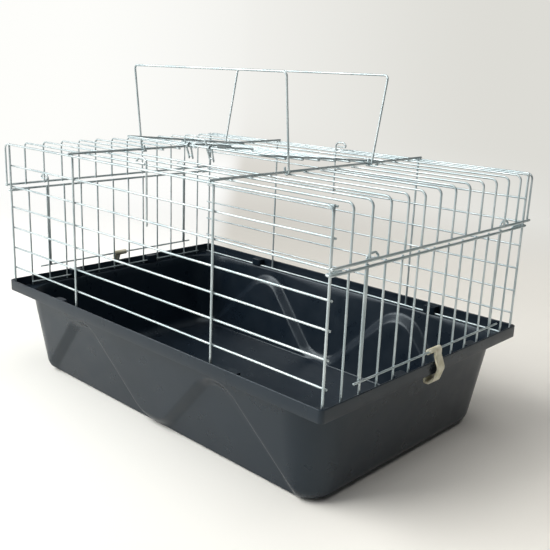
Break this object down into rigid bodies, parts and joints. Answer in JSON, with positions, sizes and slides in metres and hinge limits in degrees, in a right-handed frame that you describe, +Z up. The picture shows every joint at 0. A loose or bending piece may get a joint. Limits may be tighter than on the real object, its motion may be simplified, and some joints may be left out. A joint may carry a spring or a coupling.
{
  "type": "small animal cage",
  "caption": "Small animal cage with a deep plastic tray, a zinc wire top, a hinged roof lid with a wire latch, folding carrying bails and snap clips.",
  "frame": {"origin": "middle of the tray's flat bottom", "axes": "+X along the length to the end with the right clip, -Y the front, +Z up"},
  "size_m": [0.6032, 0.384, 0.4351],
  "materials": {
    "tray_plastic": "satin",
    "zinc_wire": "bright",
    "clip_plastic": "gloss"
  },
  "bodies": {
    "cage": {"tray": "tray_plastic", "front_side_wires": "zinc_wire", "front_bottom_wire": "zinc_wire", "front_corner_uprights": "zinc_wire", "front_middle_uprights": "zinc_wire", "front_eye_rod": "zinc_wire", "rear_side_wires": "zinc_wire", "rear_bottom_wire": "zinc_wire", "rear_corner_uprights": "zinc_wire", "rear_middle_uprights": "zinc_wire", "rear_eye_rod": "zinc_wire", "left_end_bars": "zinc_wire", "left_end_top_rail": "zinc_wire", "left_end_tie_bar": "zinc_wire", "left_end_bottom_wire": "zinc_wire", "left_eye_rods": "zinc_wire", "right_end_bars": "zinc_wire", "right_end_top_rail": "zinc_wire", "right_end_tie_bar": "zinc_wire", "right_end_bottom_wire": "zinc_wire", "right_eye_rods": "zinc_wire", "roof_long_wires": "zinc_wire", "roof_cut_wires": "zinc_wire", "roof_cross_rods": "zinc_wire", "roof_end_rails": "zinc_wire"},
    "lid": {"lid_frame": "zinc_wire", "lid_long_wires": "zinc_wire", "lid_short_wires": "zinc_wire"},
    "lid_latch": {"lid_latch": "zinc_wire"},
    "front_bail": {"front_bail": "zinc_wire"},
    "rear_bail": {"rear_bail": "zinc_wire"},
    "left_clip": {"left_clip": "clip_plastic"},
    "right_clip": {"right_clip": "clip_plastic"}
  },
  "joints": [
    {"name": "lid_hinge", "type": "hinge", "parent": "cage", "child": "lid", "pos_m": [0, 0.1022, 0.3236], "axis": [-1, 0, 0], "range_deg": [0, 78]},
    {"name": "latch_hinge", "type": "hinge", "parent": "lid", "child": "lid_latch", "pos_m": [0.0205, -0.1094, 0.34537], "axis": [-1, 0, 0], "range_deg": [0, 75]},
    {"name": "front_bail_hinge", "type": "hinge", "parent": "cage", "child": "front_bail", "pos_m": [0, -0.076, 0.32335], "axis": [1, 0, 0], "range_deg": [0, 77.5]},
    {"name": "rear_bail_hinge", "type": "hinge", "parent": "cage", "child": "rear_bail", "pos_m": [0, 0.076, 0.32335], "axis": [-1, 0, 0], "range_deg": [0, 71.5]},
    {"name": "right_clip_hinge", "type": "hinge", "parent": "cage", "child": "right_clip", "pos_m": [0.2887, 0, 0.143], "axis": [0, -1, 0], "range_deg": [0, 120]},
    {"name": "left_clip_hinge", "type": "hinge", "parent": "cage", "child": "left_clip", "pos_m": [-0.2887, 0, 0.143], "axis": [0, 1, 0], "range_deg": [0, 120]}
  ]
}
